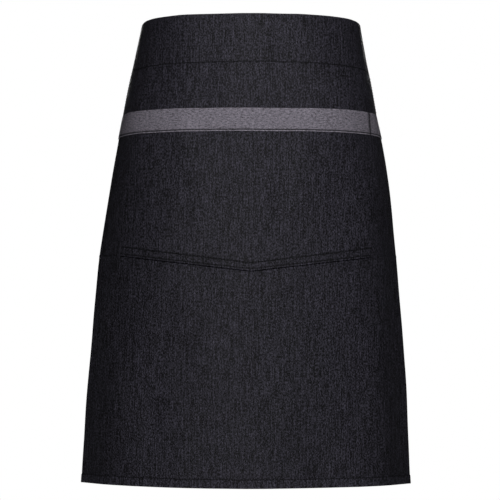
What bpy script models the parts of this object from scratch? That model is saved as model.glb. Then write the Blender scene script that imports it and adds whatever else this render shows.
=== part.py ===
"""Waist apron of black denim, as worn: panel, waistband, grey strip, pocket layer and ties.

The cloth is one surface, given by two numbers: across, from -1 at the left side edge to 1 at the
right one, and down, the distance below the top edge. Every sewn piece is a patch of that surface,
moved out or in by the layers that it lies on. Metres, +Z up, and the front faces -Y. The origin is
the middle of the waist opening, half way up the waistband.
"""

import math

import bmesh
import bpy
import numpy as np
from mathutils import Vector

# Main sizes of the cloth
HEIGHT = 0.5004           # centre front as worn, top edge to hem
WAIST_WIDTH = 0.370       # flat width of the cloth at its top edge
HEM_WIDTH = 0.406         # flat width of the cloth at its hem
WAIST_DEPTH = 0.200       # waist opening, front to back
SKIRT_SWELL = 0.032       # how much further forward the hem hangs than the top edge
SWAY = 0.004              # how far the hem hangs to the left of the middle
EDGE_DIP = 0.009          # how much lower the right side edge starts than the centre front
FOLD_HEIGHT = 0.0045      # the deepest soft fold

# Layers and gaps
DENIM = 0.0010            # one layer of denim
SIDE_HEM = 0.014          # turned side edges
HEM = 0.010               # turned bottom edge
HEM_EXTRA = 0.0006        # how much thicker a turned edge is
GAP = 0.0003              # between two pieces that are sewn together

# Waistband, strip and pocket
BAND_HEIGHT = 0.0527      # the top edge turned to the back and stitched
STRIP_DOWN = 0.1010       # top edge of the strip below the top edge of the apron
STRIP_HEIGHT = 0.0251
STRIP_THICK = 0.0010
MOUTH_DOWN = 0.2709       # pocket mouth at its lowest point, in the middle
MOUTH_RISE = 0.0175       # how much higher the mouth line is at the side edges
MOUTH_ROUND = 0.010       # rounding of the V
MOUTH_LOW_SHARE = 0.025   # its lowest point, as a share of half the width
MOUTH_START_SHARE = -0.775  # ends of the open mouth, the same
MOUTH_END_SHARE = 0.730
MOUTH_GAP = 0.0008        # dark slit between the facing and the pocket
FACING_MIDDLE = 0.0070    # height of the turned facing over the mouth, in the middle
FACING_END = 0.0138       # and at its ends

# Ties
TIE_WIDTH = 0.025
TIE_THICK = 0.0016        # two layers of thin cloth
TIE_OVERLAP = 0.020       # length that is sewn behind the end of the waistband
TIE_PULL_SHARE = 0.42     # how long the tie keeps its direction, share of the way to the knot
KNOT_SIZE = (0.034, 0.020, 0.028)
TAIL_LENGTH = 0.180
TAIL_GATHER_SHARE = 0.55  # width of a tail where it leaves the knot, share of the tie's width
TAIL_SPREAD = 0.020       # how far a tail's end hangs to its side

# Mesh fineness
COLUMNS = 40              # facets across the apron
ROW_STEP = 0.021          # about one facet down the cloth
TIE_STEPS = 12
TAIL_STEPS = 8
KNOT_SIDES = 16
SUM_POINTS = 12           # points of the sum that follows the bend of a section

# The section of the worn cloth at a few places down its height.
# down: share of HEIGHT. turn: how far the side edges have turned back, degrees.
# sides: how much of the bend is kept for the sides, 0 is an even arc.
# swell, sway and dip: shares of SKIRT_SWELL, SWAY and EDGE_DIP. dip_power: how late the dip comes.
SECTION_NAMES = (
    "down", "turn_left", "turn_right", "sides", "swell", "sway", "dip_left", "dip_right", "dip_power",
)
SECTIONS = np.array((
    (0.00, 103.5, 105.5, 0.40, 0.00, 0.50, 0.70, 1.05, 4.0),
    (0.10, 91.0, 94.5, 0.37, 0.16, 0.50, 0.70, 0.90, 2.5),
    (0.20, 90.0, 93.0, 0.55, 0.38, 0.25, 0.55, 0.40, 2.0),
    (0.30, 81.0, 81.0, 0.45, 0.56, 0.00, 0.45, 0.17, 2.0),
    (0.50, 67.0, 68.0, 0.33, 0.78, -0.38, 0.50, 0.50, 2.0),
    (0.75, 53.0, 53.0, -0.05, 0.94, -0.88, 0.50, 0.55, 2.0),
    (1.00, 49.5, 50.0, -0.07, 1.00, -1.00, 0.17, 0.33, 2.0),
))

# Soft upright folds, each a smooth ridge or, with a height below 0, a hollow.
# across and width: shares of half the width. start and end: shares of HEIGHT where it fades in
# and is whole, height: share of FOLD_HEIGHT.
FOLD_NAMES = ("across", "width", "start", "end", "height")
FOLDS = np.array((
    (0.78, 0.13, 0.38, 0.75, 1.00),
    (0.62, 0.16, 0.35, 0.80, 0.45),
    (-0.77, 0.12, 0.62, 0.85, 0.53),
    (-0.50, 0.10, 0.62, 0.85, -0.27),
    (-0.38, 0.10, 0.34, 0.22, 0.23),
    (-0.27, 0.08, 0.34, 0.20, -0.20),
    (0.17, 0.09, 0.55, 0.40, -0.27),
    (0.30, 0.16, 0.60, 1.00, -0.23),
    (-0.22, 0.18, 0.60, 1.00, -0.23),
))


def smooth_at(down, name):
    """A section value at any share of the height, on a smooth curve through the rows."""
    rows = SECTIONS[:, SECTION_NAMES.index("down")]
    values = SECTIONS[:, SECTION_NAMES.index(name)]
    slopes = np.gradient(values, rows)
    low = np.clip(np.searchsorted(rows, down, side="right") - 1, 0, len(rows) - 2)
    step = rows[low + 1] - rows[low]
    q = (down - rows[low]) / step
    start = (2 * q**3 - 3 * q**2 + 1) * values[low] + (q**3 - 2 * q**2 + q) * step * slopes[low]
    end = (3 * q**2 - 2 * q**3) * values[low + 1] + (q**3 - q**2) * step * slopes[low + 1]
    return start + end


def ease(share):
    """Goes smoothly from 0 to 1."""
    share = np.clip(share, 0, 1)
    return share * share * (3 - 2 * share)


def half_width(down):
    """Half the flat width of the cloth at a distance below the top edge."""
    return (WAIST_WIDTH + (HEM_WIDTH - WAIST_WIDTH) * down / HEIGHT) / 2


def fold_height(across, down):
    """How far the soft folds stand out from the plain section."""
    height = np.zeros(np.broadcast(across, down).shape)
    for row in FOLDS:
        fold = dict(zip(FOLD_NAMES, row))
        fade = ease((down / HEIGHT - fold["start"]) / (fold["end"] - fold["start"]))
        ridge = np.exp(-(((across - fold["across"]) / fold["width"]) ** 2))
        height = height + fold["height"] * FOLD_HEIGHT * fade * ridge
    return height


def plain_place(across, down):
    """Points of the plain section surface, without folds."""
    share = down / HEIGHT
    right = across >= 0
    turn = np.radians(np.where(right, smooth_at(share, "turn_right"), smooth_at(share, "turn_left")))
    dip = np.where(right, smooth_at(share, "dip_right"), smooth_at(share, "dip_left")) * EDGE_DIP
    sides = smooth_at(share, "sides")
    reach = np.abs(across)
    lower = dip * reach ** smooth_at(share, "dip_power")
    nodes, weights = np.polynomial.legendre.leggauss(SUM_POINTS)
    sideways = np.zeros(np.shape(reach * share))
    back = np.zeros(np.shape(reach * share))
    for node, weight in zip((nodes + 1) / 2, weights / 2):
        part = reach * node
        angle = turn * (part - sides * np.sin(np.pi * part) / np.pi)
        sideways += weight * np.cos(angle)
        back += weight * np.sin(angle)
    arc = half_width(down) * reach
    x = SWAY * smooth_at(share, "sway") + np.sign(across) * arc * sideways
    y = arc * back - WAIST_DEPTH / 2 - SKIRT_SWELL * smooth_at(share, "swell")
    z = BAND_HEIGHT / 2 - down - lower
    return np.stack((x, y, z), axis=-1)


def place(across, down, proud=0.0):
    """Points of the worn cloth. proud is the distance in front of the back of the panel."""
    across = np.asarray(across, dtype=float)
    down = np.asarray(down, dtype=float)
    step = 1e-4
    along = plain_place(across + step, down) - plain_place(across - step, down)
    below = plain_place(across, down + step) - plain_place(across, down - step)
    normal = np.cross(below, along)
    normal = normal / np.linalg.norm(normal, axis=-1, keepdims=True)
    lift = fold_height(across, down) + proud
    return plain_place(across, down) + normal * np.asarray(lift)[..., None]


def mouth_line(across):
    """Distance below the top edge of the pocket mouth and of the seam that goes on beside it."""
    run = (np.asarray(across) - MOUTH_LOW_SHARE) * (WAIST_WIDTH + HEM_WIDTH) / 4
    rounded = np.sqrt(run**2 + MOUTH_ROUND**2) - MOUTH_ROUND
    side = (WAIST_WIDTH + HEM_WIDTH) / 4
    return MOUTH_DOWN - MOUTH_RISE * rounded / (side - MOUTH_ROUND)


def facing_line(across):
    """Distance below the top edge of the facing's stitched upper edge."""
    share = np.abs(across) / max(-MOUTH_START_SHARE, MOUTH_END_SHARE)
    return mouth_line(across) - FACING_MIDDLE - (FACING_END - FACING_MIDDLE) * share


def rows_between(*stops):
    """Rows down the cloth, evenly spaced between each two of the stops."""
    rows = [stops[0]]
    for top, bottom in zip(stops, stops[1:]):
        count = max(1, round((bottom - top) / ROW_STEP))
        rows += list(np.linspace(top, bottom, count + 1))[1:]
    return rows


def columns_across():
    """The shared columns of the full-width pieces, with one at the inner line of each side hem."""
    hem_share = SIDE_HEM / half_width(HEIGHT / 2)
    inner = np.linspace(-(1 - hem_share), 1 - hem_share, COLUMNS - 3)
    return [-1, -(1 - hem_share / 2)] + list(inner) + [1 - hem_share / 2, 1]


def material(name, colour, roughness):
    """A plain cloth finish."""
    finish = bpy.data.materials.new(name)
    finish.use_nodes = True
    shader = finish.node_tree.nodes["Principled BSDF"]
    shader.inputs["Base Color"].default_value = (*colour, 1)
    shader.inputs["Roughness"].default_value = roughness
    shader.inputs["Metallic"].default_value = 0
    return finish


def add_object(name, mesh, finish, collection):
    """Puts a mesh in the apron's collection as one named piece."""
    mesh.materials.append(finish)
    mesh.shade_smooth()
    piece = bpy.data.objects.new(name, mesh)
    collection.objects.link(piece)
    return piece


def cloth(name, spot, across, down, thick, finish, collection, inward=False, hems=None):
    """A sheet of cloth with its wall.

    spot(i, j) gives the point at column i and row j, across and down count the columns and rows,
    hems(i, j) says where the cloth is turned and so thicker by HEM_EXTRA.
    """
    grid = bmesh.new()
    bmesh.ops.create_grid(grid, x_segments=across, y_segments=down, size=0.5)
    mesh = bpy.data.meshes.new(name)
    whole = thick + HEM_EXTRA if hems else thick
    weights = []
    for vertex in grid.verts:
        i = round((vertex.co.x + 0.5) * across)
        j = round((0.5 - vertex.co.y) * down)
        vertex.co = Vector(spot(i, j))
        turned = hems is not None and hems(i, j)
        weights.append(1.0 if turned else thick / whole)
    grid.to_mesh(mesh)
    grid.free()
    piece = add_object(name, mesh, finish, collection)
    wall = piece.modifiers.new("wall", "SOLIDIFY")
    wall.thickness = whole
    wall.offset = -1 if inward else 1
    if hems:
        group = piece.vertex_groups.new(name="turned")
        for index, weight in enumerate(weights):
            group.add([index], weight, "REPLACE")
        wall.vertex_group = "turned"
    return piece


def make_skirt_panel(finish, collection):
    """The main cloth below the waistband, turned to the back along its sides and hem."""
    columns = columns_across()
    rows = rows_between(BAND_HEIGHT + GAP, STRIP_DOWN, STRIP_DOWN + STRIP_HEIGHT, HEIGHT - HEM, HEIGHT)
    spot = lambda i, j: place(columns[i], rows[j], DENIM)
    edges = (0, 1, 2, len(columns) - 3, len(columns) - 2, len(columns) - 1)
    hems = lambda i, j: i in edges or j >= len(rows) - 2
    return cloth("skirt_panel", spot, len(columns) - 1, len(rows) - 1, DENIM, finish, collection,
                 inward=True, hems=hems)


def make_waistband(finish, collection):
    """The top edge turned to the back: two layers, flush with the panel in front."""
    columns = columns_across()
    rows = rows_between(0, BAND_HEIGHT)
    spot = lambda i, j: place(columns[i], rows[j], DENIM)
    return cloth("waistband", spot, len(columns) - 1, len(rows) - 1, 2 * DENIM + GAP, finish,
                 collection, inward=True)


def make_contrast_strip(finish, collection):
    """The grey strip that lies on the panel from side to side."""
    columns = columns_across()
    rows = rows_between(STRIP_DOWN, STRIP_DOWN + STRIP_HEIGHT)
    spot = lambda i, j: place(columns[i], rows[j], DENIM + GAP)
    return cloth("contrast_strip", spot, len(columns) - 1, len(rows) - 1, STRIP_THICK, finish,
                 collection)


def make_pocket_panel(finish, collection):
    """The full-width pocket layer, from the mouth line down to the hem."""
    columns = columns_across()
    body = rows_between(MOUTH_DOWN, HEIGHT - HEM)
    shares = [(row - MOUTH_DOWN) / (HEIGHT - MOUTH_DOWN) for row in body] + [1]

    def spot(i, j):
        top = mouth_line(columns[i]) + MOUTH_GAP / 2
        return place(columns[i], top + (HEIGHT - top) * shares[j], DENIM + GAP)

    hems = lambda i, j: j >= len(shares) - 2
    return cloth("pocket_panel", spot, len(columns) - 1, len(shares) - 1, DENIM, finish,
                 collection, hems=hems)


def make_pocket_facing(finish, collection):
    """The turned and stitched edge of the panel over the pocket mouth."""
    steps = round(COLUMNS * (MOUTH_END_SHARE - MOUTH_START_SHARE) / 2)
    across = np.linspace(MOUTH_START_SHARE, MOUTH_END_SHARE, steps + 1)

    def spot(i, j):
        bottom = mouth_line(across[i]) - MOUTH_GAP / 2
        return place(across[i], (facing_line(across[i]), bottom)[j], DENIM + GAP)

    return cloth("pocket_facing", spot, len(across) - 1, 1, DENIM, finish, collection)


def bezier(start, start_pull, end_pull, end, share):
    """A point of a smooth curve between two points."""
    left = 1 - share
    return (left**3 * start + 3 * left**2 * share * start_pull
            + 3 * left * share**2 * end_pull + share**3 * end)


def tie_rail(side, offset, knot_y):
    """One long edge of a tie: behind the end of the waistband, then round to the knot."""
    down = BAND_HEIGHT / 2 + offset
    behind = -(2 * DENIM + GAP) + DENIM - GAP
    overlap = TIE_OVERLAP / half_width(down)
    sewn = [place(side * (1 - overlap * (1 - q)), down, behind) for q in (0, 0.5, 1)]
    start = sewn[-1]
    heading = start - sewn[-2]
    heading = heading / np.linalg.norm(heading)
    end = np.array((side * (KNOT_SIZE[0] / 2 + GAP), knot_y, -offset))
    pull = TIE_PULL_SHARE * np.linalg.norm(end - start)
    first = start + heading * pull
    last = end + np.array((side * pull, 0, 0))
    free = [bezier(start, first, last, end, q) for q in np.linspace(0, 1, TIE_STEPS + 1)[1:]]
    return sewn + free


def make_tie(side, name, finish, collection):
    """A flat tie, sewn behind the end of the waistband, that goes round the back to the knot."""
    knot_y = WAIST_DEPTH / 2
    rails = [tie_rail(side, offset, knot_y) for offset in (-TIE_WIDTH / 2, TIE_WIDTH / 2)]
    count = len(rails[0]) - 1
    spot = lambda i, j: rails[j][i if side > 0 else count - i]
    return cloth(name, spot, count, 1, TIE_THICK, finish, collection, inward=True)


def make_knot(finish, collection):
    """The knot as one rounded lump."""
    lump = bmesh.new()
    bmesh.ops.create_uvsphere(lump, u_segments=KNOT_SIDES, v_segments=KNOT_SIDES // 2, radius=0.5)
    bmesh.ops.scale(lump, vec=KNOT_SIZE, verts=lump.verts)
    bmesh.ops.translate(lump, vec=(0, WAIST_DEPTH / 2, 0), verts=lump.verts)
    mesh = bpy.data.meshes.new("tie_knot")
    lump.to_mesh(mesh)
    lump.free()
    return add_object("tie_knot", mesh, finish, collection)


def make_tail(side, name, finish, collection):
    """A free end that hangs from the knot, gathered at its top."""
    top = -KNOT_SIZE[2] / 2 - GAP
    layer = side * (TIE_THICK / 2 + GAP)

    def spot(i, j):
        share = i / TAIL_STEPS
        width = TIE_WIDTH * (TAIL_GATHER_SHARE + (1 - TAIL_GATHER_SHARE) * ease(share * 3))
        middle = side * (TIE_WIDTH * TAIL_GATHER_SHARE / 4 + TAIL_SPREAD * share**1.5)
        x = middle + width * (0.5 - j)
        y = WAIST_DEPTH / 2 + layer + KNOT_SIZE[1] / 4 * math.sin(math.pi * share)
        return (x, y, top - TAIL_LENGTH * share)

    return cloth(name, spot, TAIL_STEPS, 1, TIE_THICK, finish, collection)


def main():
    for old in list(bpy.data.objects):
        bpy.data.objects.remove(old)
    apron = bpy.data.collections.new("waist_apron")
    bpy.context.scene.collection.children.link(apron)
    denim = material("black_denim", (0.022, 0.021, 0.026), 0.9)
    chambray = material("grey_chambray", (0.145, 0.135, 0.158), 0.9)
    tape = material("black_tie_cloth", (0.020, 0.019, 0.023), 0.9)
    make_skirt_panel(denim, apron)
    make_waistband(denim, apron)
    make_contrast_strip(chambray, apron)
    make_pocket_facing(denim, apron)
    make_pocket_panel(denim, apron)
    make_tie(-1, "tie_left", tape, apron)
    make_tie(1, "tie_right", tape, apron)
    make_knot(tape, apron)
    make_tail(-1, "tie_tail_left", tape, apron)
    make_tail(1, "tie_tail_right", tape, apron)


main()
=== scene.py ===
"""Looks of the waist apron: fine cloth for every piece, its stitching, materials, light and camera.

The cloth is one surface, given by across, from -1 at the left side edge to 1 at the right one, and
down, the distance below the top edge. Lengths are in metres, +Z is up and the front faces -Y.
"""

import math

import bpy
import numpy as np
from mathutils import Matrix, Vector


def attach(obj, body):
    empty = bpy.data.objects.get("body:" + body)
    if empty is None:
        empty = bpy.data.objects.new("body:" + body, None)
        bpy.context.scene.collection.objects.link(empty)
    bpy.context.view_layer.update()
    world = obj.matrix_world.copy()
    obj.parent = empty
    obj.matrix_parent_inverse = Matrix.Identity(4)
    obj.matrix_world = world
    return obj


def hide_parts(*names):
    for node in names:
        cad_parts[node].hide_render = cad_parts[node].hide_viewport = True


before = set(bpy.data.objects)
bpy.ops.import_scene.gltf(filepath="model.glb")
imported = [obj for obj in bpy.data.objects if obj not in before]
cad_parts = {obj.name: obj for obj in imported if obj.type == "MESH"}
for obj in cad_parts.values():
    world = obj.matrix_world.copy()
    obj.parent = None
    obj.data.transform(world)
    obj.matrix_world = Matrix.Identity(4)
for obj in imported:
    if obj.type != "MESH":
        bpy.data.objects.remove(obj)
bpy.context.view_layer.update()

# Main sizes of the cloth. The strip, the mouth and the facing differ by up to 3 mm from the CAD
# model, since they were fitted to the photo once more
HEIGHT = 0.5004           # centre front as worn, top edge to hem
WAIST_WIDTH = 0.370       # flat width of the cloth at its top edge
HEM_WIDTH = 0.406         # flat width of the cloth at its hem
WAIST_DEPTH = 0.200       # waist opening, front to back
SKIRT_SWELL = 0.032       # how much further forward the hem hangs than the top edge
SWAY = 0.004              # how far the hem hangs to the left of the middle
EDGE_DIP = 0.009          # how much lower the right side edge starts than the centre front
FOLD_HEIGHT = 0.0045      # the deepest soft fold
DENIM = 0.0010            # one layer of denim
SIDE_HEM = 0.014          # turned side edges
HEM = 0.010               # turned bottom edge
HEM_EXTRA = 0.0006        # how much thicker a turned edge is
GAP = 0.0003              # between two pieces that are sewn together
BAND_HEIGHT = 0.0527
STRIP_DOWN = 0.1010
STRIP_HEIGHT = 0.0247
STRIP_END = STRIP_DOWN + STRIP_HEIGHT
STRIP_THICK = 0.0010
MOUTH_DOWN = 0.2731       # pocket mouth at its lowest point, in the middle
MOUTH_RISE = 0.0234       # how much higher the mouth line would be at the side edges
MOUTH_ROUND = 0.002       # radius of the V's lowest point
MOUTH_LOW_SHARE = 0.015   # where the lowest point is, as a share across
MOUTH_START_SHARE = -0.775
MOUTH_END_SHARE = 0.718
SEAM_BEND_SHARE = 0.76    # from here to the side edges the line rises less steeply
SEAM_BEND = 0.5           # how much less steeply, as a share
MOUTH_GAP = 0.0008        # open slit between the facing and the pocket
MOUTH_CLOSE_SHARE = 0.02  # how soon the slit closes beyond the facing, as a share across
FACING_MIDDLE = 0.0094    # height of the facing in the middle and at its ends
FACING_END = 0.0108
TIE_WIDTH = 0.025
TIE_THICK = 0.0016
TIE_OVERLAP = 0.020       # how far the ties are sewn on behind the waistband
TIE_PULL_SHARE = 0.42     # how far the ties keep their direction, as a share of their way
TIE_SQUEEZE = 0.8         # height of the ties at the knot, as a share of their width
TIE_SINK = 0.002          # how far the ties run into the knot
TIE_RADIUS = 0.0007       # rounding of their edges
KNOT_SIZE = (0.034, 0.020, 0.028)
KNOT_Y = WAIST_DEPTH / 2
TAIL_LENGTH = 0.180
TAIL_GATHER_SHARE = 0.55  # width of the tails at the knot, as a share of their full width
TAIL_SPREAD = 0.020       # how far the tails swing apart
TAIL_SINK = 0.003         # how far the tails run into the knot
TAIL_PLEAT = 0.0016       # depth of the pleats where the tails are gathered
TIE_EDGE = 0.002          # finer mesh this far from the edges of ties and tails
TIE_SEWN_POINTS = 9       # points along a tie, on its sewn and on its free part
TIE_FREE_POINTS = 60
TAIL_POINTS = 70
SUM_POINTS = 12           # points of the sum that gives the section's curve

# Layers of the wall, as distances in front of the back of the panel
PANEL_FRONT = DENIM
LAID_BACK = DENIM + GAP
LAID_FRONT = DENIM + GAP + DENIM
STRIP_FRONT = LAID_BACK + STRIP_THICK
BAND_BACK = -(DENIM + GAP)
TIE_FRONT = BAND_BACK - GAP

# The section of the worn cloth at shares of HEIGHT: how far each side turns back, in degrees, how
# much of that turn lies near the side edge, and shares of SKIRT_SWELL, SWAY and EDGE_DIP. Only the
# dips of the third and fourth row differ from the CAD model
SECTION_NAMES = (
    "down", "turn_left", "turn_right", "sides", "swell", "sway", "dip_left", "dip_right", "dip_power",
)
SECTIONS = np.array((
    (0.00, 103.5, 105.5, 0.40, 0.00, 0.50, 0.70, 1.05, 4.0),
    (0.10, 91.0, 94.5, 0.37, 0.16, 0.50, 0.70, 0.90, 2.5),
    (0.20, 90.0, 93.0, 0.55, 0.38, 0.25, 0.55, 0.60, 4.0),
    (0.30, 81.0, 81.0, 0.45, 0.56, 0.00, 0.45, 0.45, 3.5),
    (0.50, 67.0, 68.0, 0.33, 0.78, -0.38, 0.50, 0.50, 2.0),
    (0.75, 53.0, 53.0, -0.05, 0.94, -0.88, 0.50, 0.55, 2.0),
    (1.00, 49.5, 50.0, -0.07, 1.00, -1.00, 0.17, 0.33, 2.0),
))

# Soft upright folds: place and width as shares across, start and end as shares of HEIGHT. Each
# grows from its start to its end, which lies above the start in two of them
FOLD_NAMES = ("across", "width", "start", "end", "height")
FOLDS = np.array((
    (0.78, 0.13, 0.38, 0.75, 1.00),
    (0.62, 0.16, 0.35, 0.80, 0.45),
    (-0.77, 0.12, 0.62, 0.85, 0.53),
    (-0.50, 0.10, 0.62, 0.85, -0.27),
    (-0.38, 0.10, 0.34, 0.22, 0.23),
    (-0.27, 0.08, 0.34, 0.20, -0.20),
    (0.17, 0.09, 0.55, 0.40, -0.27),
    (0.30, 0.16, 0.60, 1.00, -0.23),
    (-0.22, 0.18, 0.60, 1.00, -0.23),
))

# Painted light on the folds' ridges and painted shade in their valleys, as a change of tone. The
# columns are those of the folds, with the change of tone in place of the height
PAINTED_FOLD_LIGHT = np.array((
    (0.55, 0.14, 0.25, 0.50, 0.15),
    (0.80, 0.10, 0.45, 0.80, -0.17),
    (-0.52, 0.12, 0.62, 0.80, 0.22),
    (-0.74, 0.10, 0.62, 0.80, -0.10),
))

# Small unevenness of the cloth, with waves per metre
RIPPLE_NAMES = ("across", "down", "phase", "height")
RIPPLES = (
    (9.0, 4.0, 0.4, 0.00035),
    (17.0, -6.5, 2.1, 0.00022),
    (31.0, 5.5, 4.4, 0.00012),
    (23.0, 14.0, 1.3, 0.00010),
    (47.0, -17.0, 5.2, 0.00005),
)

# Spacing of the cloth's mesh, with finer steps at edges and beside lines of stitches
STEP = 0.0026
LEAST_STEP = 0.00006
EDGE_STEPS = (0.0, 0.00008, 0.0002, 0.0004, 0.0008, 0.0016)
LINE_STEPS = (-0.0013, -0.0007, -0.0003, 0.0, 0.0003, 0.0007, 0.0013)

# Stitches and the marks that they leave
STITCH_PITCH = 0.0033
STITCH_LENGTH = 0.0026
THREAD = 0.00034          # thread radius
THREAD_FLATNESS = 0.8
GROOVE_DEPTH = 0.00022    # how far a line of stitches pulls the cloth in
GROOVE_WIDTH = 0.0006
BACK_GROOVE = 0.6         # depth of the groove on the back, as a share of the front one
PUCKER = 0.00010          # how much deeper the groove is at each pucker
PUCKER_STITCHES = 4       # stitches to one pucker
PUCKER_SLANT = 0.35
SEAM_WIDTH = 0.00065      # width of the painted shade in the groove of a line of stitches
UPRIGHT_SEAM = 2.8        # how much wider that line is at upright stitches
UPRIGHT_GROOVE = 2        # how much wider the groove is there
SEAM_DOTS = 0.20          # how much lighter that line is between two stitches
STEP_SHADE = 0.8          # how dark the painted shade is where a layer's edge lies on the panel
STEP_SHADE_WIDTH = 0.7 * SEAM_WIDTH

# Small forms of the layers
SEAM_CLEARANCE = 4e-6     # between waistband and panel, so narrow that no light comes through
STRIP_PRESS_TOP = 0.0011  # how far the panel lies back under the strip
STRIP_PRESS_END = 0.0005
LIP = 0.0004              # how far the pocket's upper edge stands out
LIP_LENGTH = 0.0025
RISER = 0.00008           # width of a step in the panel
HEM_RISER = 0.0006        # width of the step at a turned edge
POCKET_HEM_RISER = 0.0008
HEM_PALE_RUN = 0.0010     # below the hem's stitches, where it gets paler
MOST_INSET = 0.46         # how far rounded edges may thin a wall, as a share of it

# Tones of the cloth near its edges: rubbed wear, a painted highlight and painted shade
PALE_EDGE_WIDTH = 0.0006       # width of the rubbed edges and of the painted highlight on the strip's lower fold
TIE_WEAR = 0.3
TIE_WEAR_WIDTH = 0.0008
SIDE_SHADE = 0.20         # painted shade: how much darker the side edges are painted, where the cloth turns away
SIDE_SHADE_START = 0.62   # share across where they start to darken
SIDE_SHADE_RUN = 0.23

# Lines of stitches
BAND_STITCH = BAND_HEIGHT - 0.0010
STRIP_STITCH = STRIP_END - 0.0016
STRIP_JOIN = 0.1445       # distance from the centre front of the upright stitches on the strip
HEM_STITCH = HEIGHT - HEM + 0.0006
SIDE_STITCH = 0.012       # distance of the side stitches from the side edge
SIDE_SHARE = 0.9          # about where they cross the pocket's seam, as a share across
FACING_STITCH = 0.0008    # below the facing's upper edge
MOUTH_STITCH = 0.0027     # above the pocket mouth
SEAM_STITCH = 0.0009      # below the seams that go on beside the mouth
LINE_END_SHARE = 0.985    # share across where the level lines end
MOUTH_LINE_END = 0.01     # how far the facing's lines end before it does, as a share across
END_STITCH_SHARE = MOUTH_END_SHARE - 0.006
BARTACK_SHARE = 0.598     # where the ends of the open part of the mouth are locked
BARTACK_WIDTH = 0.0032
BARTACK_ZIGZAGS = 4

# Looks of each cloth: rounding of its edges, how much paler they are by rubbing and, on the strip's
# lower fold, by a painted highlight, how dark and wide the painted shade on its seams is, how much
# painted shade darkens its sides (below 0, painted light brightens them), and how pale its hem is
LOOK_NAMES = (
    "top_radius", "bottom_radius", "side_radius", "top_lighten", "bottom_lighten", "side_lighten",
    "seam_dark", "seam_width", "side_shade", "hem_pale",
)
LOOKS = {
    "panel_cloth": (0.0003, 0.0005, 0.0005, 0.0, 0.3, 0.3, 1.0, SEAM_WIDTH, SIDE_SHADE, 0.0),
    "band_cloth": (0.0011, 0.0004, 0.0008, 0.0, 0.3, 0.3, 1.0, SEAM_WIDTH, SIDE_SHADE, 0.0),
    # The strip's lower edge is painted much paler, a painted highlight on its fold
    "strip_cloth": (0.0005, 0.0005, 0.0005, 0.0, 2.0, 0.3, 1.0, 0.00078, -0.12, 0.0),
    "facing_cloth": (0.0006, 0.0005, 0.0005, 0.2, 0.2, 0.0, 1.0, SEAM_WIDTH, SIDE_SHADE, 0.0),
    "pocket_cloth": (0.0005, 0.0008, 0.0005, 0.2, 0.4, 0.3, 0.6, SEAM_WIDTH, SIDE_SHADE, 0.2),
}

# Layers of noise in the tones of denim and chambray: stretch across and down, scale per metre,
# detail, roughness and strength
NOISE_NAMES = ("layer", "across", "down", "scale", "detail", "rough", "gain")
DENIM_NOISE = (
    ("slub", 1.0, 0.08, 740.0, 1.0, 0.5, 3.1),
    ("long_slub", 1.0, 0.03, 420.0, 1.0, 0.5, 1.25),
    ("grain", 1.0, 0.64, 700.0, 1.0, 0.6, 5.6),
    ("patch", 1.0, 1.0, 22.0, 2.0, 0.5, 0.3),
    ("blotch", 1.0, 0.7, 170.0, 1.0, 0.5, 0.9),
)
CHAMBRAY_NOISE = (
    ("dashes", 0.3, 1.0, 900.0, 1.0, 0.5, 1.6),
    ("patch", 1.0, 1.0, 40.0, 2.0, 0.5, 0.25),
)
DENIM_FLOAT = (0.00062, 0.00095, 0.37)      # width and height of one float, and shift of each row
CHAMBRAY_FLOAT = (0.00075, 0.0007, 0.5)
TWILL_PITCH = (0.00078, 0.00052)            # across and down
WEAVE_PITCH = (0.00056, 0.00060)
FLECK_START = 0.9         # the palest floats show as flecks
FLECK_GAIN = 7.0
LEAST_TONE = 0.15

# Colours, depth of the fine relief, and shine
DENIM_COLOUR = (0.0145, 0.0136, 0.0190)
TIE_COLOUR = (0.0135, 0.0128, 0.0175)
CHAMBRAY_COLOUR = (0.1535, 0.1410, 0.1680)
THREAD_COLOUR = (0.0035, 0.0035, 0.0045)
DENIM_RELIEF = 0.00022
CHAMBRAY_RELIEF = 0.00016
THREAD_RELIEF = 0.0001
CLOTH_SHINE = 0.16
TIE_SHINE = 0.05
THREAD_SHINE = 0.12

# The knot
KNOT_ROWS = 48
KNOT_COLUMNS = 96
KNOT_SQUARENESS = 0.8     # below 1 the rounded lump is a little boxy
KNOT_POLE = 0.02          # where its end caps start, in radians
KNOT_CORE = 0.80          # thickness of its ends, as a share of KNOT_SIZE
KNOT_WRAP = 0.16          # how much thicker it is where the tie is wrapped round
KNOT_WRAP_SHARE = 0.55
KNOT_PLEATS = ((0.05, 9, 0.0), (0.03, 21, 1.0))   # depth, waves and phase
KNOT_PLEAT_SLANT = 0.35

# Studio
FLOOR_HALF = 3.9
FLOOR_LEVEL = -1.0
FLOOR_GLOW = {"From Min": 0.8, "From Max": 3.4, "To Min": 0.6, "To Max": 1.0}
WORLD_WHITE = 1.0         # what the camera sees
WORLD_LIGHT = 0.02        # what falls on the cloth
LIGHTS = (                # name, place, aim, size and power in watts
    ("key", (0.11, -1.0, 0.5), (0, 0, -0.15), 0.35, 11.3),
    ("low_fill", (0.0, -1.0, -0.8), (0, 0, -0.3), 0.35, 3.3),
    ("back_fill", (0.0, 3.4, 1.4), (0, 0, -0.2), 2.2, 170),
)

# Camera: level, straight in front, as far as the photo's perspective shows
CAMERA_PLACE = (0.0, -2.512, -0.2245)
CAMERA_LENS = 164.1       # mm
CAMERA_SENSOR = 36        # mm


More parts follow.
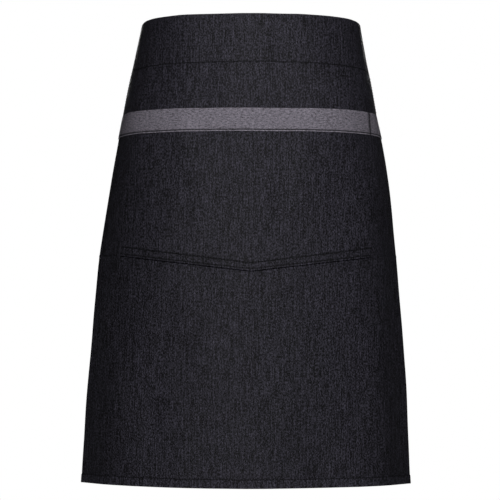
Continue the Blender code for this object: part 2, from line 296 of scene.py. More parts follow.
def smooth_at(down, name):
    """A section value at any share of the height, on a smooth curve through the rows."""
    rows = SECTIONS[:, SECTION_NAMES.index("down")]
    values = SECTIONS[:, SECTION_NAMES.index(name)]
    slopes = np.gradient(values, rows)
    low = np.clip(np.searchsorted(rows, down, side="right") - 1, 0, len(rows) - 2)
    step = rows[low + 1] - rows[low]
    q = (down - rows[low]) / step
    start = (2 * q**3 - 3 * q**2 + 1) * values[low] + (q**3 - 2 * q**2 + q) * step * slopes[low]
    end = (3 * q**2 - 2 * q**3) * values[low + 1] + (q**3 - q**2) * step * slopes[low + 1]
    return start + end


def ease(share):
    """Goes smoothly from 0 to 1."""
    share = np.clip(share, 0, 1)
    return share * share * (3 - 2 * share)


def half_width(down):
    """Half the flat width of the cloth at a distance below the top edge."""
    return (WAIST_WIDTH + (HEM_WIDTH - WAIST_WIDTH) * down / HEIGHT) / 2


def ridges(table, across, down):
    """The sum of the upright ridges in a table."""
    total = np.zeros(np.broadcast(across, down).shape)
    for row in table:
        fold = dict(zip(FOLD_NAMES, row))
        fade = ease((down / HEIGHT - fold["start"]) / (fold["end"] - fold["start"]))
        ridge = np.exp(-(((across - fold["across"]) / fold["width"]) ** 2))
        total = total + fold["height"] * fade * ridge
    return total


def fold_height(across, down):
    """How far the soft folds and the cloth's small unevenness stand out."""
    height = FOLD_HEIGHT * ridges(FOLDS, across, down)
    side = across * half_width(down)
    for row in RIPPLES:
        ripple = dict(zip(RIPPLE_NAMES, row))
        turn = 2 * math.pi * (ripple["across"] * side + ripple["down"] * down) + ripple["phase"]
        height = height + ripple["height"] * np.sin(turn)
    return height


def plain_place(across, down):
    """Points of the plain section surface, without folds."""
    share = down / HEIGHT
    right = across >= 0
    turn = np.radians(np.where(right, smooth_at(share, "turn_right"), smooth_at(share, "turn_left")))
    dip = np.where(right, smooth_at(share, "dip_right"), smooth_at(share, "dip_left")) * EDGE_DIP
    sides = smooth_at(share, "sides")
    reach = np.abs(across)
    lower = dip * reach ** smooth_at(share, "dip_power")
    nodes, weights = np.polynomial.legendre.leggauss(SUM_POINTS)
    sideways = np.zeros(np.shape(reach * share))
    back = np.zeros(np.shape(reach * share))
    for node, weight in zip((nodes + 1) / 2, weights / 2):
        part = reach * node
        angle = turn * (part - sides * np.sin(np.pi * part) / np.pi)
        sideways += weight * np.cos(angle)
        back += weight * np.sin(angle)
    arc = half_width(down) * reach
    x = SWAY * smooth_at(share, "sway") + np.sign(across) * arc * sideways
    y = arc * back - WAIST_DEPTH / 2 - SKIRT_SWELL * smooth_at(share, "swell")
    z = BAND_HEIGHT / 2 - down - lower
    return np.stack((x, y, z), axis=-1)


def place(across, down, proud=0.0):
    """Points of the worn cloth. proud is the distance in front of the back of the panel."""
    across = np.asarray(across, dtype=float)
    down = np.asarray(down, dtype=float)
    step = 1e-4
    along = plain_place(across + step, down) - plain_place(across - step, down)
    below = plain_place(across, down + step) - plain_place(across, down - step)
    normal = np.cross(below, along)
    normal = normal / np.linalg.norm(normal, axis=-1, keepdims=True)
    lift = fold_height(across, down) + proud
    return plain_place(across, down) + normal * np.asarray(lift)[..., None]


def mouth_line(across):
    """Distance below the top edge of the pocket mouth and of the seam that goes on beside it."""
    side = (WAIST_WIDTH + HEM_WIDTH) / 4
    run = (np.asarray(across) - MOUTH_LOW_SHARE) * side
    rounded = np.sqrt(run**2 + MOUTH_ROUND**2) - MOUTH_ROUND
    rounded = rounded - SEAM_BEND * np.maximum(rounded - SEAM_BEND_SHARE * side, 0)
    return MOUTH_DOWN - MOUTH_RISE * rounded / (side - MOUTH_ROUND)


def facing_line(across):
    """Distance below the top edge of the facing's stitched upper edge."""
    share = np.abs(across) / max(-MOUTH_START_SHARE, MOUTH_END_SHARE)
    return mouth_line(across) - FACING_MIDDLE - (FACING_END - FACING_MIDDLE) * share


def step_line(across):
    """Where the panel starts to lie back behind the pocket: the top of the facing, then the seam."""
    across = np.asarray(across, dtype=float)
    open_part = (across > MOUTH_START_SHARE - 1e-6) & (across < MOUTH_END_SHARE + 1e-6)
    return np.where(open_part, facing_line(across), mouth_line(across))


def pressed(across, down):
    """How far the panel lies back under the strip and the pocket, so that they come out flush."""
    below_top = np.clip((down - STRIP_DOWN) / RISER + 1, 0, 1)
    above_bottom = np.clip((STRIP_END - down) / RISER + 1, 0, 1)
    on_strip = below_top * above_bottom
    along_strip = np.clip((down - STRIP_DOWN) / STRIP_HEIGHT, 0, 1)
    on_pocket = np.clip((down - step_line(across)) / RISER + 1, 0, 1)
    strip_depth = STRIP_PRESS_TOP + (STRIP_PRESS_END - STRIP_PRESS_TOP) * along_strip
    return on_strip * strip_depth + on_pocket * LAID_BACK


# Materials

class Nodes:
    """Short ways to add and join the nodes of one material."""

    def __init__(self, name):
        self.material = bpy.data.materials.new(name)
        self.material.use_nodes = True
        self.tree = self.material.node_tree
        self.shader = self.tree.nodes["Principled BSDF"]

    def put(self, socket, value):
        """Joins an output to the socket, or sets its value."""
        if isinstance(value, bpy.types.NodeSocket):
            self.tree.links.new(value, socket)
        else:
            socket.default_value = value

    def add(self, kind, values=(), **settings):
        """A new node with values for its inputs."""
        node = self.tree.nodes.new(kind)
        for name, value in settings.items():
            setattr(node, name, value)
        for name, value in dict(values).items():
            self.put(node.inputs[name], value)
        return node

    def math(self, operation, first, second=0.0):
        return self.add("ShaderNodeMath", {0: first, 1: second}, operation=operation).outputs[0]

    def times(self, value, gain):
        return self.math("MULTIPLY", value, gain)

    def total(self, first, *others):
        for value in others:
            first = self.math("ADD", first, value)
        return first

    def noise(self, vector, scale, detail=1.0, rough=0.5):
        values = {"Vector": vector, "Scale": scale, "Detail": detail, "Roughness": rough}
        return self.add("ShaderNodeTexNoise", values, noise_dimensions="2D").outputs["Fac"]

    def stretch(self, vector, across, down):
        node = self.add("ShaderNodeMapping", {"Vector": vector, "Scale": (across, down, 1.0)})
        return node.outputs["Vector"]

    def centred(self, value, gain):
        """(value - 0.5) * gain"""
        return self.times(self.math("SUBTRACT", value, 0.5), gain)

    def angle(self, distance, pitch):
        """The angle of a wave that turns once in each pitch."""
        return self.times(distance, 2 * math.pi / pitch)

    def layers(self, flat, table):
        """The noise layers of a table by their names, and 1 with each layer added by its gain."""
        found = {}
        tone = 1.0
        for row in table:
            layer = dict(zip(NOISE_NAMES, row))
            spot = self.stretch(flat, layer["across"], layer["down"])
            value = self.noise(spot, layer["scale"], layer["detail"], layer["rough"])
            tone = self.total(tone, self.centred(value, layer["gain"]))
            found[layer["layer"]] = value
        return found, tone

    def with_wear_and_painted_light(self, tone, paling_gain, dark_gain):
        """The tone, paler where the cloth is rubbed or light is painted on it, darker where shade is
        painted.
        """
        paler = self.total(1.0, self.times(self.attribute("wear_and_painted_light"), paling_gain))
        darker = self.math("SUBTRACT", 1.0, self.times(self.attribute("dark"), dark_gain))
        return self.times(self.times(tone, paler), darker)

    def threads(self, u, v, wide, tall, offset):
        """A random tone for each float of the weave, rows shifted like twill."""
        row = self.math("FLOOR", self.math("DIVIDE", v, tall))
        column = self.total(self.math("DIVIDE", u, wide), self.times(row, offset))
        cell = self.add("ShaderNodeCombineXYZ", {"X": self.math("FLOOR", column), "Y": row})
        values = {"Vector": cell.outputs[0]}
        return self.add("ShaderNodeTexWhiteNoise", values, noise_dimensions="2D").outputs["Value"]

    def attribute(self, name):
        return self.add("ShaderNodeAttribute", attribute_name=name).outputs["Fac"]

    def flat(self):
        """Flat place on the cloth in metres, and its two parts."""
        place_out = self.add("ShaderNodeUVMap", uv_map="flat").outputs["UV"]
        split = self.add("ShaderNodeSeparateXYZ", {"Vector": place_out})
        return place_out, split.outputs["X"], split.outputs["Y"]

    def finish(self, colour, tone, roughness, height, distance, specular):
        """colour times tone on the shader, with bump from height."""
        scale = self.add("ShaderNodeVectorMath", {0: colour, "Scale": tone}, operation="SCALE")
        self.put(self.shader.inputs["Base Color"], scale.outputs[0])
        self.put(self.shader.inputs["Roughness"], roughness)
        self.shader.inputs["Specular IOR Level"].default_value = specular
        bump = self.add("ShaderNodeBump", {"Height": height, "Strength": 1.0, "Distance": distance})
        self.put(self.shader.inputs["Normal"], bump.outputs["Normal"])
        return self.material


def denim_material(name, colour, specular):
    """Dark denim: upright slubs, pale flecks of the weft, twill lines, rubbed edges, painted light
    and shade.
    """
    n = Nodes(name)
    flat, u, v = n.flat()
    noise, tone = n.layers(flat, DENIM_NOISE)
    floats = n.threads(u, v, *DENIM_FLOAT)
    above = n.math("SUBTRACT", floats, FLECK_START)
    fleck = n.times(n.math("MAXIMUM", above, 0.0), FLECK_GAIN)
    diagonal = n.total(n.angle(u, TWILL_PITCH[0]), n.angle(v, TWILL_PITCH[1]))
    twill = n.total(n.times(n.math("SINE", diagonal), 0.5), 0.5)
    tone = n.total(tone, n.centred(floats, 1.3), fleck, n.centred(twill, 0.25))
    tone = n.with_wear_and_painted_light(n.math("MAXIMUM", tone, LEAST_TONE), 0.9, 0.85)
    height = n.total(n.times(twill, 0.35), n.times(noise["slub"], 0.6), n.times(noise["grain"], 0.8))
    rough = n.total(0.64, n.centred(noise["patch"], 0.1))
    return n.finish(colour, tone, rough, height, DENIM_RELIEF, specular)


def chambray_material():
    """Grey chambray: plain weave with short crosswise slubs, a painted highlight and painted shade.
    """
    n = Nodes("grey_chambray")
    flat, u, v = n.flat()
    noise, tone = n.layers(flat, CHAMBRAY_NOISE)
    floats = n.threads(u, v, *CHAMBRAY_FLOAT)
    warp = n.math("SINE", n.angle(u, WEAVE_PITCH[0]))
    weft = n.math("SINE", n.angle(v, WEAVE_PITCH[1]))
    weave = n.times(warp, weft)
    tone = n.total(tone, n.centred(floats, 0.70), n.times(weave, 0.10))
    tone = n.with_wear_and_painted_light(tone, 0.6, 0.97)
    height = n.total(n.times(weave, 0.5), n.times(noise["dashes"], 0.8))
    return n.finish(CHAMBRAY_COLOUR, tone, 0.7, height, CHAMBRAY_RELIEF, CLOTH_SHINE)


def thread_material():
    """Black sewing thread with its twist."""
    n = Nodes("black_thread")
    twist = n.noise(n.add("ShaderNodeTexCoord").outputs["Object"], 3500.0, 0.0)
    tone = n.total(1.0, n.centred(twist, 0.6))
    return n.finish(THREAD_COLOUR, tone, 0.7, twist, THREAD_RELIEF, THREAD_SHINE)


# Cloth meshes

def new_object(name, data):
    """An object in the scene."""
    made = bpy.data.objects.new(name, data)
    bpy.context.scene.collection.objects.link(made)
    return made


def add_piece(name, mesh, slot, node=None, finish=None):
    """Puts a mesh in the scene as a piece that rides on the object."""
    mesh.materials.append(finish or FINISHES[slot])
    mesh.shade_smooth()
    piece = new_object(name, mesh)
    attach(piece, "root")
    if node:
        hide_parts(node)
    return piece


def set_flat(mesh, flat, faces):
    """The flat place on the cloth of each corner of the faces."""
    layer = mesh.uv_layers.new(name="flat")
    layer.uv.foreach_set("vector", flat[np.concatenate(faces)].astype(np.float32).ravel())


def set_values(mesh, label, values):
    """A number for each point, which the material reads by its label."""
    attribute = mesh.attributes.new(label, "FLOAT", "POINT")
    attribute.data.foreach_set("value", values.astype(np.float32))


def wall_mesh(name, front, back, flat, wear_and_painted_light, dark):
    """A closed wall of two grids of points, its flat places, its wear and its painted light and
    shade.

    wear_and_painted_light and dark, its painted shade, are pairs of grids, for the front and the
    back.
    """
    rows, columns = front.shape[:2]
    count = rows * columns
    index = np.arange(count).reshape(rows, columns)
    a, b, c, d = index[:-1, :-1], index[:-1, 1:], index[1:, 1:], index[1:, :-1]
    faces = [np.stack((a, d, c, b), -1).reshape(-1, 4)]
    faces.append(np.stack((a, b, c, d), -1).reshape(-1, 4) + count)
    rim = np.concatenate((index[0, :-1], index[:-1, -1], index[-1, :0:-1], index[:0:-1, 0]))
    after = np.roll(rim, -1)
    faces.append(np.stack((rim, after, after + count, rim + count), -1))
    faces = np.concatenate(faces)
    points = np.concatenate((front.reshape(-1, 3), back.reshape(-1, 3)))
    mesh = bpy.data.meshes.new(name)
    mesh.from_pydata(points.tolist(), [], faces.tolist())
    set_flat(mesh, np.tile(flat.reshape(-1, 2), (2, 1)), faces)
    for label, (in_front, behind) in (("wear_and_painted_light", wear_and_painted_light), ("dark", dark)):
        set_values(mesh, label, np.concatenate((in_front.reshape(-1), behind.reshape(-1))))
    return mesh


def near_line(distance, width):
    """1 on a line, falling to 0 beside it."""
    return np.exp(-((distance / width) ** 2))


def near_stitches(side, rows, lines, uprights, width, upright_width):
    """1 on any of the lines of stitches, falling to 0 beside them."""
    near = np.zeros(rows.shape)
    for line in lines:
        near = np.maximum(near, near_line(rows - line, width))
    for upright in uprights:
        near = np.maximum(near, near_line(side - upright, upright_width))
    return near


def swing(distance, pitch):
    """A wave from 1 to 0 and back in each pitch."""
    return 0.5 + 0.5 * np.cos(2 * math.pi * distance / pitch)


def edge_inset(distance, radius):
    """How much a wall thins towards an edge that is rounded with a radius."""
    q = np.clip(distance / radius, 0, 1)
    return radius * (1 - np.sqrt(1 - (1 - q) ** 2))


def cloth(name, columns, rows, front, back, slot, node, lines=(), uprights=(), shades=()):
    """A patch of the cloth as a wall with rounded edges, with the look of its name.

    columns are shares across, rows a grid of distances down. front and back are distances in
    front of the panel's back. lines are grids of distances down, and uprights distances from the
    centre, where stitches pull it in. shades are lines of painted shade, on the front alone.
    """
    look = dict(zip(LOOK_NAMES, LOOKS[name]))
    across = np.broadcast_to(np.asarray(columns), rows.shape)
    side = across * half_width(rows)
    edges = {
        "top": rows - rows[:1],
        "bottom": rows[-1:] - rows,
        "side": np.minimum(side - side[:, :1], side[:, -1:] - side),
    }
    pull = near_stitches(side, rows, lines, uprights, GROOVE_WIDTH, UPRIGHT_GROOVE * GROOVE_WIDTH)
    pucker = PUCKER * swing(side + PUCKER_SLANT * rows, PUCKER_STITCHES * STITCH_PITCH)
    groove = pull * (GROOVE_DEPTH + pucker)
    sunk = pressed(across, rows)
    front = front - sunk - groove
    back = back - sunk + groove * BACK_GROOVE
    inset = np.maximum.reduce([edge_inset(edges[e], look[e + "_radius"]) for e in edges])
    inset = np.minimum(inset, MOST_INSET * (front - back))

    # Paler edges: rubbed wear, and on the strip's lower fold a painted highlight
    wear_and_painted_light = np.maximum.reduce([look[e + "_lighten"] * np.exp(-edges[e] / PALE_EDGE_WIDTH) for e in edges])
    wear_and_painted_light = np.maximum(wear_and_painted_light, look["hem_pale"] * ease((rows - HEM_STITCH) / HEM_PALE_RUN))
    # The front also gets painted light on the folds' ridges and painted shade in their valleys
    front_wear_and_painted_light = wear_and_painted_light + ridges(PAINTED_FOLD_LIGHT, across, rows)
    width = look["seam_width"]
    # Painted shade in the grooves of the lines of stitches, a little lighter between two stitches
    seam = near_stitches(side, rows, lines, uprights, width, UPRIGHT_SEAM * width)
    seam = seam * look["seam_dark"] * (1 - SEAM_DOTS * swing(side + rows, STITCH_PITCH))
    # Painted shade on the side edges where the cloth turns away; on the strip, painted light instead
    beyond = (np.abs(across) - SIDE_SHADE_START) / SIDE_SHADE_RUN
    dark = np.maximum(seam, look["side_shade"] * ease(beyond))
    # Painted shade along the shades lines, under the edge of a layer that lies on the panel
    shaded = dark
    for line in shades:
        shaded = np.maximum(shaded, STEP_SHADE * near_line(rows - line, STEP_SHADE_WIDTH))
    flat = np.stack((side, -rows), -1)
    mesh = wall_mesh(name, place(across, rows, front - inset), place(across, rows, back + inset),
                     flat, (front_wear_and_painted_light, wear_and_painted_light), (shaded, dark))
    return add_piece(name, mesh, slot, node)


def spaced(start, end, lines=()):
    """Places from start to end: even steps, with finer ones at both ends and at each line."""
    places = list(np.linspace(start, end, max(2, round((end - start) / STEP)) + 1))
    for step in EDGE_STEPS:
        places += [start + step, end - step]
    for line in lines:
        places += [line + step for step in LINE_STEPS]
    places = sorted(p for p in places if start <= p <= end)
    kept = [places[0]]
    for p in places[1:]:
        if p - kept[-1] > LEAST_STEP:
            kept.append(p)
    kept[-1] = end
    return np.array(kept)


def full_columns(middle_down, uprights=()):
    """Shares across for a full-width piece, finer at its side hems and upright stitches."""
    half = half_width(middle_down)
    hem_lines = (-(half - SIDE_STITCH), half - SIDE_STITCH, *uprights)
    return spaced(-half, half, hem_lines) / half


def rows_through(columns, stops, lines=()):
    """Rows that run through some stops, each a distance down or one for every column."""
    stops = [np.broadcast_to(np.asarray(stop, float), (len(columns),)) for stop in stops]
    rows = [stops[0][None]]
    for top, bottom in zip(stops, stops[1:]):
        length = float((bottom - top).mean())
        shares = spaced(0.0, length, [line - float(top.mean()) for line in lines])[1:] / length
        rows.append(top + (bottom - top) * shares[:, None])
    return np.concatenate(rows)


def even_rows(columns, places):
    """The same distances down in every column."""
    return np.repeat(np.asarray(places)[:, None], len(columns), axis=1)


def side_hems(columns, rows):
    """The extra thickness of the turned side edges, on the back."""
    across = np.broadcast_to(np.asarray(columns), rows.shape)
    inside = (1 - np.abs(across)) * half_width(rows)
    return HEM_EXTRA * (1 - ease((inside - SIDE_HEM) / HEM_RISER))


def bottom_hem(rows, riser):
    """The extra thickness of the turned bottom edge."""
    return HEM_EXTRA * ease((rows - HEIGHT + HEM) / riser)


# Stitches

def stitch_mesh(name, paths):
    """Small arched threads. Each path is the starts, the ends and the normals of its stitches."""
    sides = 6
    swell = np.array((0.35, 0.9, 1.0, 0.9, 0.35))
    lift = np.array((-0.7, 0.35, 0.6, 0.35, -0.7)) * THREAD
    stations = len(swell)
    q = np.linspace(0, 1, stations)
    turns = np.linspace(0, 2 * math.pi, sides, endpoint=False)
    all_points, all_faces, offset = [], [], 0
    for starts, ends, normals in paths:
        along = ends - starts
        along = along / np.linalg.norm(along, axis=-1, keepdims=True)
        sideways = np.cross(normals, along)
        centre = starts[:, None] + (ends - starts)[:, None] * q[None, :, None]
        centre = centre + normals[:, None] * lift[None, :, None]
        ring = (np.cos(turns)[None, None, :, None] * sideways[:, None, None]
                + np.sin(turns)[None, None, :, None] * normals[:, None, None] * THREAD_FLATNESS)
        points = centre[:, :, None] + ring * (swell * THREAD)[None, :, None, None]
        number = len(starts)
        index = np.arange(number * stations * sides).reshape(number, stations, sides) + offset
        ahead = np.roll(index, -1, axis=2)
        walls = np.stack((index[:, :-1], ahead[:, :-1], ahead[:, 1:], index[:, 1:]), -1)
        all_faces += walls.reshape(-1, 4).tolist()
        all_faces += index[:, 0, ::-1].tolist() + index[:, -1].tolist()
        all_points.append(points.reshape(-1, 3))
        offset += number * stations * sides
    mesh = bpy.data.meshes.new(name)
    mesh.from_pydata(np.concatenate(all_points).tolist(), [], all_faces)
    return mesh


def stitches_on(along, proud, facing=1):
    """Stitches along a line on the cloth. along(q) gives across and down for shares of the line."""
    def spot(q, height):
        across, down = along(q)
        return place(across, down, height - pressed(across, down))

    fine = np.linspace(0, 1, 400)
    track = spot(fine, proud)
    travelled = np.concatenate(([0], np.cumsum(np.linalg.norm(np.diff(track, axis=0), axis=1))))
    count = int(travelled[-1] / STITCH_PITCH)
    first = (travelled[-1] - count * STITCH_PITCH) / 2
    begin = first + STITCH_PITCH * np.arange(count)
    start_q = np.interp(begin, travelled, fine)
    end_q = np.interp(begin + STITCH_LENGTH, travelled, fine)
    starts = spot(start_q, proud)
    ends = spot(end_q, proud)
    normals = spot(start_q, proud + 0.001) - starts
    normals = facing * normals / np.linalg.norm(normals, axis=1, keepdims=True)
    return starts, ends, normals


def taken_at(value, places):
    """A number, or the values of a function, at some places."""
    return value(places) if callable(value) else np.full(np.shape(places), value)


def level_line(down, start=-LINE_END_SHARE, end=LINE_END_SHARE):
    """A line across the cloth at one distance down, or at a distance that depends on across."""
    def along(q):
        across = start + (end - start) * q
        return across, taken_at(down, across)
    return along


def facing_seam(across):
    """Distance down of the stitches along the facing's upper edge."""
    return facing_line(across) + FACING_STITCH


def mouth_seam(across):
    """Distance down of the stitches above the pocket mouth."""
    return mouth_line(across) - MOUTH_STITCH


def beside_seam(across):
    """Distance down of the stitches that go on beside the pocket mouth."""
    return mouth_line(across) + SEAM_STITCH


def facing_end(down):
    """Distance from the centre front of the stitches at the facing's right end."""
    return END_STITCH_SHARE * half_width(down)


def bartack(across):
    """A close zigzag of stitches that locks an end of the pocket mouth."""
    top = float(facing_seam(across))
    bottom = float(mouth_line(across))

    def along(q):
        down = top + (bottom - top) * q
        sway = BARTACK_WIDTH / 2 * np.sin(2 * math.pi * BARTACK_ZIGZAGS * q)
        return across + sway / half_width(down), down
    return along


def upright_line(side, top, bottom):
    """A line down the cloth at one distance from the centre front, or at one that depends on down."""
    def along(q):
        down = top + (bottom - top) * q
        return taken_at(side, down) / half_width(down), down
    return along


def add_stitches(name, paths):
    """One piece that holds all the stitches of some lines."""
    add_piece(name, stitch_mesh(name, paths), "black_denim", finish=THREAD_FINISH)


FINISHES = {
    "black_denim": denim_material("black_denim", DENIM_COLOUR, CLOTH_SHINE),
    "black_tie_cloth": denim_material("black_tie_cloth", TIE_COLOUR, TIE_SHINE),
    "grey_chambray": chambray_material(),
}
THREAD_FINISH = thread_material()


def make_panel():
    """The main cloth, with its side edges and hem turned to the back."""
    top = BAND_HEIGHT + SEAM_CLEARANCE
    half = half_width(HEIGHT / 2)
    columns = full_columns(HEIGHT / 2, (MOUTH_START_SHARE * half, MOUTH_END_SHARE * half))
    step = step_line(columns)
    stops = (top, STRIP_DOWN, STRIP_END, step, HEIGHT - 2 * HEM, HEIGHT)
    rows = rows_through(columns, stops, (HEM_STITCH,))
    turned = np.maximum(side_hems(columns, rows), bottom_hem(rows, HEM_RISER))
    # Painted shade on the panel along the step, under the facing's edge and beside the mouth
    piece = cloth("panel_cloth", columns, rows, PANEL_FRONT, -turned, "black_denim", "skirt_panel",
                  (HEM_STITCH,), shades=(step,))


def make_band():
    """The turned-down top edge, folded over at the top and stitched near its lower edge."""
    columns = full_columns(BAND_HEIGHT / 2)
    rows = even_rows(columns, spaced(0.0, BAND_HEIGHT, (BAND_STITCH,)))
    piece = cloth("band_cloth", columns, rows, PANEL_FRONT, BAND_BACK, "black_denim", "waistband",
                  (BAND_STITCH,))


def make_strip():
    """The grey strip, with turned edges and a line of stitches over its lower one."""
    columns = full_columns(STRIP_DOWN, (STRIP_JOIN,))
    rows = even_rows(columns, spaced(STRIP_DOWN, STRIP_END, (STRIP_STITCH,)))
    piece = cloth("strip_cloth", columns, rows, STRIP_FRONT, LAID_BACK, "grey_chambray",
                  "contrast_strip", (STRIP_STITCH,), (STRIP_JOIN,))


def make_facing():
    """The turned edge over the pocket mouth."""
    half = half_width(MOUTH_DOWN)
    columns = spaced(MOUTH_START_SHARE * half, MOUTH_END_SHARE * half) / half
    top = facing_line(columns)
    bottom = mouth_line(columns) - MOUTH_GAP / 2
    stitched = (FACING_STITCH, FACING_MIDDLE - MOUTH_STITCH)
    shares = spaced(0.0, FACING_MIDDLE, stitched) / FACING_MIDDLE
    rows = top + (bottom - top) * shares[:, None]
    piece = cloth("facing_cloth", columns, rows, LAID_FRONT, LAID_BACK, "black_denim",
                  "pocket_facing", (facing_seam(columns), mouth_seam(columns)))


def make_pocket():
    """The pocket layer, from the mouth to the hem."""
    columns = full_columns(MOUTH_DOWN)
    beyond = np.maximum(MOUTH_START_SHARE - columns, columns - MOUTH_END_SHARE)
    top = mouth_line(columns) + MOUTH_GAP / 2 * ease(1 - beyond / MOUTH_CLOSE_SHARE)
    length = HEIGHT - MOUTH_DOWN
    places = spaced(0.0, length, (length - (HEIGHT - HEM_STITCH),))
    rows = top + (HEIGHT - top) * (places / length)[:, None]
    raised = bottom_hem(rows, POCKET_HEM_RISER) + LIP * near_line(rows - top, LIP_LENGTH)
    piece = cloth("pocket_cloth", columns, rows, LAID_FRONT + raised, LAID_BACK, "black_denim",
                  "pocket_panel", (HEM_STITCH,))


def make_seam_stitches():
    """The stitches of the waistband, strip, pocket and hem, in front and behind."""
    groove = GROOVE_DEPTH + PUCKER / 2
    back_groove = groove * BACK_GROOVE
    add_stitches("band_stitches", [
        stitches_on(level_line(BAND_STITCH), PANEL_FRONT - groove),
        stitches_on(level_line(BAND_STITCH), BAND_BACK + back_groove, -1),
    ])
    join = upright_line(STRIP_JOIN, STRIP_DOWN + 0.001, STRIP_END - 0.0005)
    add_stitches("strip_stitches", [
        stitches_on(level_line(STRIP_STITCH), STRIP_FRONT - groove),
        stitches_on(join, STRIP_FRONT - groove),
        stitches_on(level_line(STRIP_STITCH), 0.0, -1),
    ])
    start = MOUTH_START_SHARE + MOUTH_LINE_END
    end = MOUTH_END_SHARE - MOUTH_LINE_END
    top = float(facing_line(MOUTH_END_SHARE))
    bottom = float(mouth_line(MOUTH_END_SHARE)) - 0.0006
    add_stitches("pocket_stitches", [
        stitches_on(level_line(facing_seam, start, end), LAID_FRONT - groove),
        stitches_on(level_line(mouth_seam, start, end), LAID_FRONT - groove),
        stitches_on(level_line(beside_seam, -LINE_END_SHARE, MOUTH_START_SHARE), LAID_FRONT),
        stitches_on(level_line(beside_seam, MOUTH_END_SHARE, LINE_END_SHARE), LAID_FRONT),
        stitches_on(bartack(-BARTACK_SHARE), LAID_FRONT),
        stitches_on(bartack(BARTACK_SHARE), LAID_FRONT),
        stitches_on(upright_line(facing_end, top, bottom), LAID_FRONT),
    ])
    add_stitches("hem_stitches", [
        stitches_on(level_line(HEM_STITCH), LAID_FRONT + HEM_EXTRA - groove),
        stitches_on(level_line(HEM_STITCH), -HEM_EXTRA + back_groove, -1),
    ])


def make_side_stitches(name, sign):
    """The upright stitches of one turned side edge, in runs that leave out the layers on it."""
    def beside(down):
        return sign * (half_width(down) - SIDE_STITCH)

    seam = float(mouth_line(sign * SIDE_SHARE))
    runs = (              # from, to, height above the panel's back, and the side they show on
        (BAND_HEIGHT + 0.002, STRIP_DOWN - 0.001, PANEL_FRONT, 1),
        (STRIP_END + 0.001, seam - 0.002, PANEL_FRONT, 1),
        (seam + 0.003, HEIGHT - HEM - 0.002, LAID_FRONT, 1),
        (BAND_HEIGHT + 0.002, HEIGHT - 0.004, -HEM_EXTRA, -1),
    )
    add_stitches(name, [
        stitches_on(upright_line(beside, top, bottom), proud, facing)
        for top, bottom, proud, facing in runs
    ])


# Ties and knot

def bezier(start, start_pull, end_pull, end, share):
    """A point of the smooth curve from start to end that two pull points shape."""
    left = 1 - share
    return (left**3 * start + 3 * left**2 * share * start_pull
            + 3 * left * share**2 * end_pull + share**3 * end)


def tie_offsets():
    """Places across a tie, from its upper to its lower edge."""
    edge = TIE_WIDTH / 2
    return spaced(-edge, edge, (-edge + TIE_EDGE, edge - TIE_EDGE))


def tie_inset(offset):
    """How much a tie thins towards its rounded edges."""
    return float(edge_inset(TIE_WIDTH / 2 - abs(offset), TIE_RADIUS))


def tie_rail(side, offset, proud):
    """One line along a tie: behind the end of the waistband, then round to the knot."""
    down = BAND_HEIGHT / 2 + offset
    overlap = TIE_OVERLAP / half_width(down)
    shares = np.linspace(0, 1, TIE_SEWN_POINTS)
    sewn = [place(side * (1 - overlap * (1 - q)), down, proud) for q in shares]
    start = sewn[-1]
    heading = start - sewn[len(sewn) // 2]
    heading = heading / np.linalg.norm(heading)
    end_x = side * (KNOT_SIZE[0] / 2 - TIE_SINK)
    end = np.array((end_x, KNOT_Y + proud - TIE_FRONT, -offset * TIE_SQUEEZE))
    pull = TIE_PULL_SHARE * np.linalg.norm(end - start)
    first = start + heading * pull
    last = end + np.array((side * pull, 0, 0))
    shares = np.linspace(0, 1, TIE_FREE_POINTS + 1)[1:]
    free = [bezier(start, first, last, end, q) for q in shares]
    return np.array(sewn + free)


def ribbon(name, rails_front, rails_back, node):
    """A flat tie from two grids of points, one row for each line along it, and its length."""
    front = np.array(rails_front)
    back = np.array(rails_back)
    steps = np.linalg.norm(np.diff(front, axis=1), axis=-1)
    travelled = np.concatenate((np.zeros((len(front), 1)), np.cumsum(steps, axis=1)), axis=1)
    across = tie_offsets() + TIE_WIDTH / 2
    flat = np.stack((np.broadcast_to(across[:, None], travelled.shape), travelled), -1)
    nearest = np.minimum(across, TIE_WIDTH - across)
    rubbed = TIE_WEAR * np.exp(-nearest / TIE_WEAR_WIDTH)
    wear_and_painted_light = np.broadcast_to(rubbed[:, None], travelled.shape)
    dark = np.zeros(travelled.shape)
    mesh = wall_mesh(name, front, back, flat, (wear_and_painted_light, wear_and_painted_light), (dark, dark))
    piece = add_piece(name, mesh, "black_tie_cloth", node)
    return piece, float(travelled[:, -1].mean())


def make_tie(side, name, node):
    """A flat tie, sewn behind the end of the waistband, that goes round to the knot.

    The left one runs from the knot to the waistband, so that its faces look outwards too.
    """
    fronts, backs = [], []
    for offset in tie_offsets():
        inset = tie_inset(offset)
        fronts.append(tie_rail(side, offset, TIE_FRONT - inset)[::side])
        backs.append(tie_rail(side, offset, TIE_FRONT - TIE_THICK + inset)[::side])
    piece, length = ribbon(name, fronts, backs, node)


